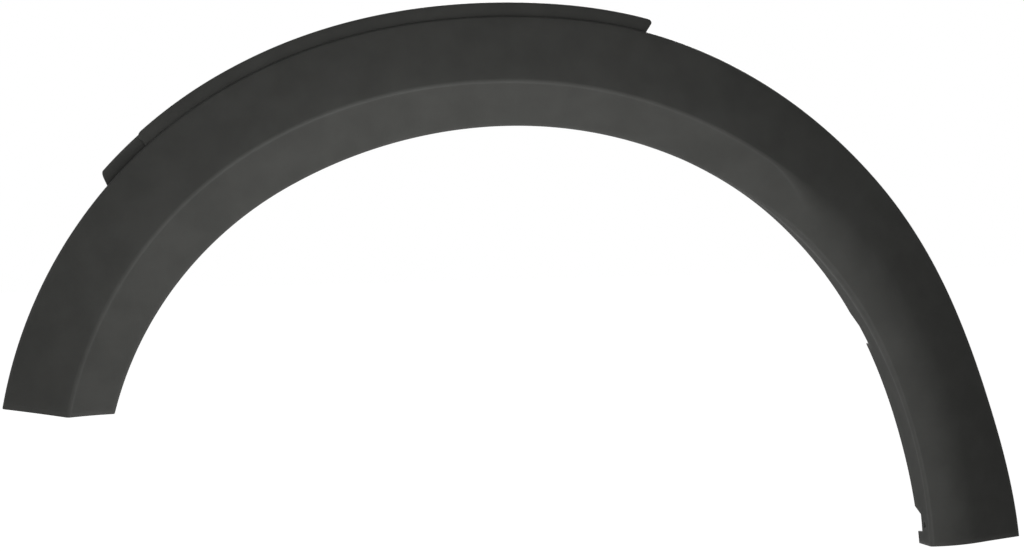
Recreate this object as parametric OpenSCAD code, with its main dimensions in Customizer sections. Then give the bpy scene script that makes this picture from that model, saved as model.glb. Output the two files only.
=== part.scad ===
// Wheel arch trim for one front wheel opening: a single moulded plastic shell.
// The trim stands upright as on the car. Its face looks along -Y, the car body is on the
// +Y side, the front leg is on -X and the rear leg on +X. Every length is in millimetres.
// The edge of the wheel opening is a chain of tangent arcs. A station is a place on that
// edge, given by its length s from the crown: below 0 on the front leg, above 0 on the rear.
// A section is drawn at each station from u, the distance outward from that edge, and
// y, the depth behind the crease.

/* [Opening edge] */
// Height of the opening's crown above the arch centre
crown_z = 346.5; // [320:0.5:380]
// Edge radius on the front side of the crown
front_crown_r = 405; // [360:1:450]
// Angle over which that radius runs
front_crown_turn = 29; // [20:0.5:40]
// Edge radius of the front shoulder and leg
front_shoulder_r = 312; // [280:1:360]
// Edge radius on the rear side of the crown
rear_crown_r = 391; // [360:1:450]
// Angle over which that radius runs
rear_crown_turn = 63; // [45:0.5:70]
// Edge radius of the rear leg
rear_leg_r = 478; // [400:2:800]
// Edge length from the crown to the front end
front_len = 460; // [430:1:500]
// Edge length from the crown to the rear end
rear_len = 621; // [580:1:660]

/* [Ends] */
// Slope of the front end's cut across the face
front_cut_slant = 0.18; // [0:0.01:0.3]
// Slope of the front end's cut through the depth
front_cut_rake = 0.165; // [0:0.005:0.25]
// Slope of the rear end's cut across the face
rear_cut_slant = 0.03; // [0:0.01:0.2]
// Slope of the rear end's cut through the depth
rear_cut_rake = 0.1; // [0:0.005:0.2]

/* [Face width] */
// Width at the front end
face_w_front_end = 94.5; // [80:0.5:115]
// Width at the front shoulder
face_w_front = 101; // [85:0.5:120]
// Width at the crown
face_w_crown = 96; // [80:0.5:115]
// Width at the rear shoulder
face_w_rear = 97; // [80:0.5:115]
// Width at the rear haunch
face_w_haunch = 89.5; // [75:0.5:110]
// Width of the rear leg where it is narrowest
face_w_rear_leg = 84; // [70:0.5:105]
// Width at the rear end
face_w_rear_end = 94.5; // [75:0.5:115]

/* [Stations] */
// Edge length from the crown to the front shoulder
front_shoulder_s = 185; // [150:1:220]
// Edge length from the crown to the rear shoulder
rear_shoulder_s = 110; // [80:1:150]
// Edge length from the crown to the rear haunch
haunch_s = 310; // [250:1:360]
// Length over which the rear leg flares out to its end
rear_flare_len = 120; // [60:1:160]

/* [Crease] */
// Distance of the crease from the opening at the front end
crease_u_front_end = 40; // [30:0.5:50]
// Distance of the crease from the opening at the front shoulder
crease_u_front = 45.5; // [35:0.5:55]
// Distance of the crease from the opening at the crown
crease_u_crown = 40.5; // [30:0.5:50]
// Distance of the crease from the opening where it starts to fade
crease_u_rear = 37; // [28:0.5:45]
// Edge length from the crown to where the crease starts to fade
crease_fade_s = 225; // [150:1:260]
// Length over which the crease fades into a rounded face
crease_fade_len = 100; // [60:1:160]
// Distance of the rounded face's bend from the opening
bend_u = 25; // [20:0.5:35]
// Rounding radius of the crease
crease_r = 6; // [2.8:0.1:9]
// Rounding radius of the rear leg's face
bend_r = 46; // [20:1:48]

/* [Depth] */
// Fall of the chamfer from the crease back to the opening
chamfer_fall = 14; // [8:0.5:18]
// Fall of the face from the crease back to its outer edge
face_fall = 24; // [14:0.5:30]
// Rounding radius of the face's two edges
edge_r = 3; // [2.6:0.1:5]
// Rounding radius of the opening's edge at the rear haunch
haunch_edge_r = 10; // [4:0.5:12]
// Rounding radius of the opening's edge on the rear leg
rear_edge_r = 6; // [4:0.5:8]
// Wall thickness
wall = 2.5; // [1.8:0.1:2.6]
// Distance that the front leg sweeps back
front_sweep = 38; // [0:1:60]
// Distance that the rear leg sweeps back
rear_sweep = 22; // [0:1:50]
// Half width of the trim over which the sweeps are measured
sweep_half_w = 450; // [400:5:500]

/* [Return walls] */
// Depth of the opening's return wall on the front leg and at the crown
return_d_front = 22; // [20:0.5:36]
// Depth of the opening's return wall at the rear haunch
return_d_haunch = 35; // [20:0.5:42]
// Depth of the opening's return wall on the rear leg
return_d_rear = 45; // [24:0.5:48]
// Depth of the opening's return wall at the rear end
return_d_rear_end = 33; // [30:0.5:40]
// Draft of that wall on the front leg and at the crown, away from the opening at its back edge
return_draft_w = 0.6; // [0:0.1:2]
// Depth of the outer edge's return wall
outer_return_d = 12; // [9:0.5:18]
// Lean of that wall towards the opening at its back edge
outer_return_lean_w = 2; // [0:0.1:3]

/* [Top lip] */
// Width of the lip beyond the face's outer edge
lip_w = 11.5; // [6:0.5:16]
// Width of the lower lip beyond that edge
low_lip_w = 10; // [6:0.5:16]
// Lip thickness
lip_t = 2.5; // [1.5:0.1:3]
// Set-back of the upper lip behind the face's outer edge
lip_step = 2.1; // [1:0.1:2.5]
// Further set-back of the lower lip
low_lip_step = 2.4; // [1.5:0.1:3]
// Fall of a lip from its root to its tip
lip_fall = 5; // [2:0.5:6.5]
// Rear end of the upper lip, as edge length from the crown
lip_rear_s = 101; // [60:1:140]
// Front end of the upper lip, as edge length from the crown
lip_front_s = 272; // [220:1:290]
// Front end of the lower lip, as edge length from the crown
low_lip_front_s = 309; // [296:1:330]
// Slant of the upper lip's rear end
lip_end_slant = 0.35; // [0:0.05:0.8]
// Slant of the lower lip's front end
low_lip_end_slant = 0.35; // [0:0.05:0.8]
// Corner radius of the lips
lip_corner_r = 4; // [1:0.5:5]

/* [Return wall details] */
// Edge length from the crown to the middle of the shallow relief
relief_s = 416; // [350:1:450]
// Length of the shallow relief
relief_len = 20; // [10:1:40]
// Length of the slant that leads into it from the crown's side
relief_lead = 13; // [4:1:20]
// Depth of the shallow relief
relief_d = 8; // [3:0.5:12]
// Distance of the foot relief's middle from the rear end
foot_relief_from_end = 18; // [14:0.5:28]
// Length of the foot relief
foot_relief_len = 17; // [12:0.5:20]
// Length of the slant that leads into it from the crown's side
foot_relief_lead = 6; // [2:0.5:12]
// Depth of return wall left at the foot relief
foot_relief_left_d = 22; // [20:0.5:28]
// Diameter of the screw holes
screw_d = 6; // [4:0.1:8]
// Depth of the screw holes behind the opening's edge
screw_hole_d = 14; // [10:0.5:15]
// Number of screw holes on the front leg, besides the one at the crown
front_screws = 2; // [1:1:4]
// Distance of the last of them from the front end
front_screw_from_end = 30; // [20:1:60]

/* [Fixings] */
// Diameter of the locating pins
pin_d = 6; // [4:0.1:8]
// Length of the locating pins beyond the body plane
pin_len = 12; // [8:0.5:20]
// Length of a locating pin's tapered tip
pin_tip = 3; // [1:0.5:5]
// Length of a fixing tower along the edge
tower_len = 20; // [16:0.5:26]
// Width of a fixing tower across the face
tower_w = 16; // [13:0.5:20]
// Wall thickness of a fixing tower
tower_wall = 2; // [1.5:0.1:2.6]
// Width of the clip slot
clip_slot_w = 7; // [5:0.1:9]
// Distance of the towers' middle inside the face's outer edge
tower_inset = 24; // [18:0.5:30]
// Number of towers on the front leg, besides the one at the crown
front_towers = 5; // [3:1:7]
// Distance of the last of them from the front end
front_tower_from_end = 32; // [24:1:60]
// Number of towers on the rear leg, besides the one at the crown
rear_towers = 6; // [3:1:8]
// Distance of the last of them from the rear end
rear_tower_from_end = 36; // [24:1:60]
// Towers that carry a locating pin, counted from the crown, below 0 on the front leg
pin_towers = [0, -4, 5]; // [-5:1:6]

/* [Ribs] */
// Rib thickness
rib_t = 1.8; // [1.2:0.1:2.5]
// Height of the ribs behind the face
rib_h = 5; // [3:0.5:10]
// Depth of the end walls behind the face's two edges
end_wall_d = 10; // [4:0.5:12]

/* [Hidden] */
$fn = 48;
station_step = 15;
// Steps round the section's three roundings, from the opening outward, and the largest share
// of a side that each of them may take
rounding_steps = [4, 6, 3];
rounding_shares = [0.2, 0.78, 0.78];
front_arcs = [[front_crown_r, front_crown_turn], [front_shoulder_r, 90]];
rear_arcs = [[rear_crown_r, rear_crown_turn], [rear_leg_r, 90]];
face_w_table = [
    [-front_len, face_w_front_end], [-front_shoulder_s, face_w_front], [0, face_w_crown],
    [rear_shoulder_s, face_w_rear], [haunch_s, face_w_haunch],
    [rear_len - rear_flare_len, face_w_rear_leg], [rear_len, face_w_rear_end]
];
crease_u_table = [
    [-front_len, crease_u_front_end], [-front_shoulder_s, crease_u_front], [0, crease_u_crown],
    [crease_fade_s, crease_u_rear], [rear_len, crease_u_rear]
];
return_d_table = [
    [-front_len, return_d_front], [rear_shoulder_s, return_d_front], [crease_fade_s, return_d_front],
    [haunch_s, return_d_haunch], [rear_len - rear_flare_len, return_d_rear], [rear_len, return_d_rear_end]
];
edge_r_table = [
    [-front_len, edge_r], [rear_shoulder_s, edge_r], [crease_fade_s, edge_r],
    [haunch_s, haunch_edge_r], [rear_len - rear_flare_len, rear_edge_r], [rear_len, rear_edge_r]
];
draft_table = [
    [-front_len, return_draft_w], [rear_shoulder_s, return_draft_w], [crease_fade_s, return_draft_w],
    [rear_len - rear_flare_len, 0], [rear_len, 0]
];
// Depth of the plane in which the trim meets the car body
body_y = face_fall + outer_return_d;

// Point and heading reached after length s on a chain of arcs, walked to one side
function walk(arcs, s, side, i = 0, x = 0, z = crown_z, h = 0) =
    let (
        r = arcs[i][0],
        full = r * arcs[i][1] * PI / 180,
        turn = min(s, full) / r * 180 / PI,
        x1 = x + side * r * (sin(h + turn) - sin(h)),
        z1 = z - r * (cos(h) - cos(h + turn))
    )
    s <= full || i == len(arcs) - 1
        ? [x1, z1, side * (h + turn)]
        : walk(arcs, s - full, side, i + 1, x1, z1, h + turn);

function edge_at(s) = s < 0 ? walk(front_arcs, -s, -1) : walk(rear_arcs, s, 1);

// How far the car body has swept back at a place across the car's side
function sweep(x) = (x < 0 ? front_sweep : rear_sweep) * pow(x / sweep_half_w, 2);

// The point in space at station s, distance u from the opening and depth y
function place(s, u, y) =
    let (e = edge_at(s), x = e[0] + u * sin(e[2]))
    [x, sweep(x) + y, e[1] + u * cos(e[2])];

// A smooth curve through a table's [station, value] rows
function slope(t, i) =
    i <= 0 ? (t[1][1] - t[0][1]) / (t[1][0] - t[0][0])
    : i >= len(t) - 1 ? slope_between(t, len(t) - 2)
    : (slope_between(t, i - 1) + slope_between(t, i)) / 2;
function slope_between(t, i) = (t[i + 1][1] - t[i][1]) / (t[i + 1][0] - t[i][0]);
function row_before(t, s, i = 0) = i >= len(t) - 2 || s < t[i + 1][0] ? i : row_before(t, s, i + 1);
function smooth_lookup(s, t) =
    let (
        i = row_before(t, s),
        d = t[i + 1][0] - t[i][0],
        f = max(0, min(1, (s - t[i][0]) / d)),
        g = 1 - f
    )
    t[i][1] * (1 + 2 * f) * g * g + t[i + 1][1] * f * f * (3 - 2 * f)
    + d * f * g * (slope(t, i) * g - slope(t, i + 1) * f);

function mix(a, b, f) = a * (1 - f) + b * f;
function ease(f) = let (g = max(0, min(1, f))) g * g * (3 - 2 * g);
function unit(v) = v / norm(v);

// The section's sizes at a station
function fade(s) = ease((s - crease_fade_s) / crease_fade_len);
function face_w(s) = smooth_lookup(s, face_w_table);
function crease_u(s) = mix(smooth_lookup(s, crease_u_table), bend_u, fade(s));
function return_d(s) = smooth_lookup(s, return_d_table);
function draft(s) = smooth_lookup(s, draft_table);
function opening_r(s) = smooth_lookup(s, edge_r_table);
// Distance of the outer return wall's outer surface from the opening at depth y
function outer_wall_u(s, y) = face_w(s) - outer_return_lean_w * (y - face_fall) / outer_return_d;

// Corners of the section's outer surface, from the return wall's back edge to the outer one's
function corners(s) = [
    [draft(s), chamfer_fall + return_d(s)], [0, chamfer_fall], [crease_u(s), 0],
    [face_w(s), face_fall], [outer_wall_u(s, body_y), body_y]
];

// A corner, seen between its two neighbours, moved inward by t
function inner_corner(a, b, c, t) =
    let (p = unit(a - b), q = unit(c - b), half = acos(p * q) / 2)
    b + unit(p + q) * t / sin(half);
function inner_corners(k, t) = [
    k[0] + [t, 0],
    for (i = [1:3]) inner_corner(k[i - 1], k[i], k[i + 1], t),
    k[4] - [t, 0]
];

// Points of the arc of radius r that rounds corner b, or as much of it as its sides allow
function rounded(a, b, c, r, steps, share) =
    let (
        p = unit(a - b), q = unit(c - b), half = acos(p * q) / 2,
        reach = min(r / tan(half), share * min(norm(a - b), norm(c - b))),
        r1 = reach * tan(half),
        centre = b + unit(p + q) * r1 / sin(half),
        from = b + p * reach - centre, to = b + q * reach - centre,
        span = 180 - 2 * half
    )
    [for (f = [0:1 / steps:1]) centre + (from * sin(span * (1 - f)) + to * sin(span * f)) / sin(span)];

function rounded_line(k, radii) = [
    k[0],
    for (i = [0:2])
        each rounded(k[i], k[i + 1], k[i + 2], radii[i], rounding_steps[i], rounding_shares[i]),
    k[4]
];

// The section's outer line, and the line a wall's share t inside it
function line_at(s, t = 0) =
    let (k = corners(s), radii = [opening_r(s), mix(crease_r, bend_r, fade(s)), edge_r])
    rounded_line(t == 0 ? k : inner_corners(k, t), [for (r = radii) max(r - t, 0.1)]);

// Both legs end in a slanted cut: the station moves with the place in the section
function cut_station(s, u, y) =
    s < 0
        ? s - pow(-s / front_len, 4) * (front_cut_slant * u - front_cut_rake * (y - chamfer_fall))
        : s + pow(s / rear_len, 4) * (rear_cut_slant * u + rear_cut_rake * (y - chamfer_fall));
function section_points(s, line) = [for (p = line) place(cut_station(s, p[0], p[1]), p[0], p[1])];

function stations(a, b) =
    let (n = ceil((b - a) / station_step))
    [for (i = [0:n]) mix(a, b, i / n)];

// A solid through loops of equal length. The first half of each loop and its second half,
// read backwards, are the two sides of a strip, so the end loops close with quads.
module strip_solid(loops) {
    n = len(loops[0]);
    last = len(loops) - 1;
    sides = [
        for (i = [0:last - 1]) for (j = [0:n - 1])
            let (a = i * n + j, b = i * n + (j + 1) % n)
            each [[a, b, b + n], [a, b + n, a + n]]
    ];
    caps = [
        for (j = [0:n / 2 - 2])
            let (a = j, b = j + 1, c = n - 2 - j, d = n - 1 - j, k = last * n)
            each [[a, c, b], [a, d, c], [k + a, k + b, k + c], [k + a, k + c, k + d]]
    ];
    polyhedron(points = [for (l = loops) each l], faces = concat(sides, caps));
}

function reversed(v) = [for (i = [len(v) - 1:-1:0]) v[i]];

// The face with its two return walls
module shell() {
    strip_solid([
        for (s = stations(-front_len, rear_len))
            concat(section_points(s, line_at(s)), reversed(section_points(s, line_at(s, wall))))
    ]);
}

// The wall's middle line between the return walls
function inside_line(s) = let (line = line_at(s, wall / 2)) [for (i = [2:len(line) - 3]) line[i]];

// A plate across the section, from the inside of the wall to its back line
module cross_plate(s0, s1, back_lines) {
    strip_solid([
        for (k = [0, 1])
            let (s = [s0, s1][k])
            concat(section_points(s, inside_line(s)), reversed(section_points(s, back_lines[k])))
    ]);
}

// A low rib that follows the face
module rib(s) {
    ends = [s - rib_t / 2, s + rib_t / 2];
    cross_plate(ends[0], ends[1], [for (e = ends) [for (p = inside_line(e)) p + [0, rib_h]]]);
}

// A leg's end wall, with a straight back edge
function straight_back(line) =
    let (first = line[0], final = line[len(line) - 1])
    [for (p = line) [p[0], mix(first[1], final[1], (p[0] - first[0]) / (final[0] - first[0])) + end_wall_d]];
module end_wall(s0, s1) {
    cross_plate(s0, s1, [for (e = [s0, s1]) straight_back(inside_line(e))]);
}

// One lip: a ledge that leaves the outer return wall at depth y, falls back towards its tip
// and reaches w beyond the face's edge, with rounded corners. slants are its ends' slopes.
module lip(s0, s1, y, w, slants) {
    r = lip_corner_r;
    ends = [for (a = [0:30:90]) r * (1 - cos(a))];
    places = concat(
        [for (d = ends) s0 + d],
        stations(s0 + 2 * r, s1 - 2 * r),
        reversed([for (d = ends) s1 - d])
    );
    strip_solid([
        for (s = places)
            let (
                f = (s - s0) / (s1 - s0),
                slant = slants[0] * pow(1 - f, 8) + slants[1] * pow(f, 8),
                inset = max(0, r - min(s - s0, s1 - s)),
                root = outer_wall_u(s, y + lip_t / 2) - wall / 2,
                tip = face_w(s) + w - r + sqrt(max(0, r * r - inset * inset)),
                front = [[root, 0], [tip - lip_t / 3, 0], [tip, lip_t / 3]],
                back = [[root, lip_t], [tip - lip_t / 3, lip_t], [tip, lip_t * 2 / 3]]
            )
            [
                for (p = concat(front, reversed(back)))
                    let (fall = lip_fall * (p[0] - face_w(s)) / w)
                    place(s + slant * (p[0] - root), p[0], y + p[1] + fall)
            ]
    ]);
}

// Puts children at a place, with X along the edge, Y to the car body and Z outward
module at_place(s, u, y) {
    translate(place(s, u, y)) rotate([0, edge_at(s)[2], 0]) children();
}

// Depth of the wall's outer surface under a fixing, on the face outside the crease
function face_y(s, u) =
    face_fall * (u - crease_u(s)) / (face_w(s) - crease_u(s));

// Distance of a fixing from the opening
function tower_u(s) = face_w(s) - tower_inset;

// A block behind the face, over a length of the edge and from u0 to u1, between a lift
// above the wall's outer surface and a top square to a pin, top_y deep at the fixing's middle
module tower_block(s, length, u0, u1, lift, top_y) {
    foot = [[s - length / 2, u0], [s + length / 2, u0], [s + length / 2, u1], [s - length / 2, u1]];
    level = place(s, tower_u(s), top_y)[1];
    strip_solid([
        [for (c = foot) place(c[0], c[1], face_y(c[0], c[1]) + lift)],
        [for (c = foot) let (p = place(c[0], c[1], top_y)) [p[0], level, p[2]]]
    ]);
}

// A fixing tower: a box that is open towards the opening and has a flat top in the body plane
module tower(s) {
    u = tower_u(s);
    difference() {
        tower_block(s, tower_len, u - tower_w / 2, u + tower_w / 2, wall / 2, body_y);
        tower_block(
            s, tower_len - 2 * tower_wall, u - tower_w, u + tower_w / 2 - tower_wall,
            wall + tower_wall / 2, body_y - tower_wall
        );
    }
}

// The open slot in a tower's top that a clip slides into
module clip_slot(s) {
    at_place(s, tower_u(s), body_y - tower_wall / 2) {
        rotate([90, 0, 0]) cylinder(d = clip_slot_w, h = 3 * tower_wall, center = true);
        translate([-clip_slot_w / 2, -1.5 * tower_wall, -tower_w])
            cube([clip_slot_w, 3 * tower_wall, tower_w]);
    }
}

// A pin with a tapered tip that stands on a tower's top
module locating_pin(s) {
    at_place(s, tower_u(s), body_y) rotate([-90, 0, 0]) {
        translate([0, 0, -tower_wall / 2]) cylinder(d = pin_d, h = tower_wall / 2 + pin_len - pin_tip);
        translate([0, 0, pin_len - pin_tip]) cylinder(d1 = pin_d, d2 = pin_d - pin_tip, h = pin_tip);
    }
}

// A screw hole square through the opening's return wall
module screw_hole(s) {
    at_place(s, 0, chamfer_fall + screw_hole_d)
        rotate([atan(draft(s) / return_d(s)), 0, 0])
            cylinder(d = screw_d, h = 4 * wall, center = true);
}

// A cut into the back edge of the opening's return wall, which leaves depth left_d of it.
// A slant leads into the cut over length lead.
module relief(s, length, lead, left_d) {
    cut = return_d(s) - left_d;
    at_place(s, 0, chamfer_fall + left_d)
        translate([0, 0, -2 * wall])
            linear_extrude(height = 4 * wall)
                polygon([
                    [-length / 2, 0], [length / 2, 0], [length / 2, 2 * cut],
                    [-length / 2 - 2 * lead, 2 * cut]
                ]);
}

// The station of a tower, counted from the crown
function tower_s(i) =
    i < 0
        ? i * (front_len - front_tower_from_end) / front_towers
        : i * (rear_len - rear_tower_from_end) / rear_towers;
function has_pin(i) = len(search(i, pin_towers)) > 0;
foot_relief_s = rear_len - foot_relief_from_end;
screws_s = [
    for (i = [0:front_screws]) -i * (front_len - front_screw_from_end) / front_screws,
    foot_relief_s
];
lip_y = face_fall + lip_step;
low_lip_y = lip_y + low_lip_step;
// The lower lip starts under the upper one's front end
low_lip_rear_s = 2 * lip_corner_r - lip_front_s;
// The main locating pin's foot, which is the trim's own origin
datum = place(tower_s(pin_towers[0]), tower_u(tower_s(pin_towers[0])), body_y);

module arch_trim() {
    color([0.2, 0.2, 0.195])
        translate(-datum)
            difference() {
                union() {
                    shell();
                    end_wall(-front_len, -front_len + wall);
                    end_wall(rear_len - wall, rear_len);
                    lip(-lip_front_s, lip_rear_s, lip_y, lip_w, [0, lip_end_slant]);
                    lip(-low_lip_front_s, low_lip_rear_s, low_lip_y, low_lip_w, [low_lip_end_slant, 0]);
                    for (i = [-front_towers:rear_towers]) tower(tower_s(i));
                    for (i = [-front_towers:rear_towers - 1]) rib((tower_s(i) + tower_s(i + 1)) / 2);
                    for (i = pin_towers) locating_pin(tower_s(i));
                }
                for (i = [-front_towers:rear_towers]) if (!has_pin(i)) clip_slot(tower_s(i));
                for (s = screws_s) screw_hole(s);
                relief(relief_s, relief_len, relief_lead, return_d(relief_s) - relief_d);
                relief(foot_relief_s, foot_relief_len, foot_relief_lead, foot_relief_left_d);
            }
}

arch_trim();
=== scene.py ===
"""The look of the wheel arch trim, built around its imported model.

The trim is one moulding of grained black plastic. Its face is a sheet that is formed from a flat
blank, station by station along the opening's edge, and then given its wall. The lips, end walls
and ribs are formed the same way, the fixing towers start as open boxes and the locating pins as
cylinders, and all of them are fused to the face. The trim's sizes are in millimetres, the
finish's and the studio's in metres, and angles are in degrees. A station is a place on the
opening's edge, given by its length from the crown: below 0 on the front leg, above 0 on the rear
leg.
"""

import logging
import math
from dataclasses import dataclass, field
from enum import Enum
from typing import Callable, Iterable, Sequence

import bmesh
import bpy
from mathutils import Matrix, Vector


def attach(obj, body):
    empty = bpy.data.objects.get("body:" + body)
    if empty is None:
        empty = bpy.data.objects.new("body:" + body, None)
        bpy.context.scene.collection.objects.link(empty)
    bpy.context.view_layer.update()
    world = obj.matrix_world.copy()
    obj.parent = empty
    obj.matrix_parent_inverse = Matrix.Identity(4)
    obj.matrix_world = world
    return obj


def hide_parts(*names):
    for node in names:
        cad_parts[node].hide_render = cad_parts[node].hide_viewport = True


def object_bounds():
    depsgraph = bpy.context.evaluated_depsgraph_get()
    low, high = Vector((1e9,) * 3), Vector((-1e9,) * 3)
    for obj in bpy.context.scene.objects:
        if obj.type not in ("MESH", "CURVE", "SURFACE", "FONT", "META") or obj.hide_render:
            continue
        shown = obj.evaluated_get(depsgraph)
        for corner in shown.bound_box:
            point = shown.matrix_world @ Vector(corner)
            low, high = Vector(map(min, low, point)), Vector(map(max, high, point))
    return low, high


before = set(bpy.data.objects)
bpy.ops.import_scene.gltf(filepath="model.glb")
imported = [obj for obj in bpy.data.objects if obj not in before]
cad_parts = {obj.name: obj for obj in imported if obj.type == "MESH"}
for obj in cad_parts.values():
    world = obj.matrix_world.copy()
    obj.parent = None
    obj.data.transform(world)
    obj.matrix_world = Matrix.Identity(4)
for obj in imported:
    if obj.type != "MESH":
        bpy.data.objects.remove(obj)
CAD_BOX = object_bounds()

MM = 0.001
NODE = "arch_trim"
BODY = "root"
WHITE = (1.0, 1.0, 1.0, 1.0)
# A face looks along an axis where its normal's share is above this.
FACING = 0.5

log = logging.getLogger("arch_trim")


@dataclass(frozen=True)
class Course:
    """A size that runs smoothly along the opening's edge, through known places."""

    knots: tuple[tuple[float, float], ...]

    def _step(self, i: int) -> float:
        """The mean slope between knot i and the next one."""
        (s0, a), (s1, b) = self.knots[i], self.knots[i + 1]
        return (b - a) / (s1 - s0)

    def _slope(self, i: int) -> float:
        """The slope of the curve at a knot.

        Args:
            i: The knot's number.

        Returns:
            The mean of the slopes on either side, or the one slope beside an end knot.
        """
        last = len(self.knots) - 1
        if i == 0:
            return self._step(0)
        if i == last:
            return self._step(last - 1)
        return (self._step(i - 1) + self._step(i)) / 2

    def at(self, s: float) -> float:
        """The size at a station.

        Args:
            s: The station.

        Returns:
            The size in millimetres.
        """
        i = max(k for k in range(len(self.knots) - 1) if k == 0 or s >= self.knots[k][0])
        (s0, a), (s1, b) = self.knots[i], self.knots[i + 1]
        length = s1 - s0
        f = min(1.0, max(0.0, (s - s0) / length))
        g = 1 - f
        ends = a * (1 + 2 * f) * g * g + b * f * f * (3 - 2 * f)
        return ends + length * f * g * (self._slope(i) * g - self._slope(i + 1) * f)


@dataclass(frozen=True)
class EdgePoint:
    """A point of the opening's edge, and the edge's turn there from the crown, in radians."""

    x: float
    z: float
    turn: float


@dataclass(frozen=True)
class OpeningEdge:
    """The edge of the wheel opening: a chain of tangent arcs down either side of the crown."""

    crown_z: float = 346.5
    front_arcs: tuple[tuple[float, float], ...] = ((405.0, 29.0), (312.0, 90.0))
    rear_arcs: tuple[tuple[float, float], ...] = ((391.0, 63.0), (478.0, 90.0))
    front_len: float = 460.0
    rear_len: float = 621.0

    def at(self, s: float) -> EdgePoint:
        """The edge's point at a station.

        Args:
            s: The station.

        Returns:
            The point and the edge's turn there, in radians, positive on the rear leg.
        """
        side, arcs = (-1, self.front_arcs) if s < 0 else (1, self.rear_arcs)
        x, z, turned, left = 0.0, self.crown_z, 0.0, abs(s)
        for number, (radius, degrees) in enumerate(arcs):
            full = radius * math.radians(degrees)
            run = left if number == len(arcs) - 1 else min(left, full)
            after = turned + run / radius
            x += side * radius * (math.sin(after) - math.sin(turned))
            z -= radius * (math.cos(turned) - math.cos(after))
            turned, left = after, left - run
            if left <= 0:
                break
        return EdgePoint(x, z, side * turned)


def between(a: Vector, b: Vector, shares: Iterable[float]) -> list[Vector]:
    """Points on the straight stretch from a to b, at the given shares of it."""
    return [a.lerp(b, f) for f in shares]


def rounded(
    a: Vector, b: Vector, c: Vector, radius: float, steps: int, share: float
) -> list[Vector]:
    """The arc that rounds corner b of the line a, b, c.

    Args:
        a: The corner before.
        b: The corner to round.
        c: The corner after.
        radius: The arc's radius. It shrinks where the line's sides are too short for it.
        steps: How many straight steps the arc gets.
        share: The largest share of a side that the arc may take.

    Returns:
        The arc's points, from the side of a to the side of c.
    """
    p, q = (a - b).normalized(), (c - b).normalized()
    half = p.angle(q) / 2
    reach = min(radius / math.tan(half), share * min((a - b).length, (c - b).length))
    centre = b + (p + q).normalized() * reach / math.cos(half)
    start, end = b + p * reach - centre, b + q * reach - centre
    span = math.pi - 2 * half
    shares = [i / steps for i in range(steps + 1)]
    return [
        centre + (start * math.sin(span * (1 - f)) + end * math.sin(span * f)) / math.sin(span)
        for f in shares
    ]


def ease(f: float) -> float:
    """A share from 0 to 1 that starts and ends gently."""
    f = min(1.0, max(0.0, f))
    return f * f * (3 - 2 * f)


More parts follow.
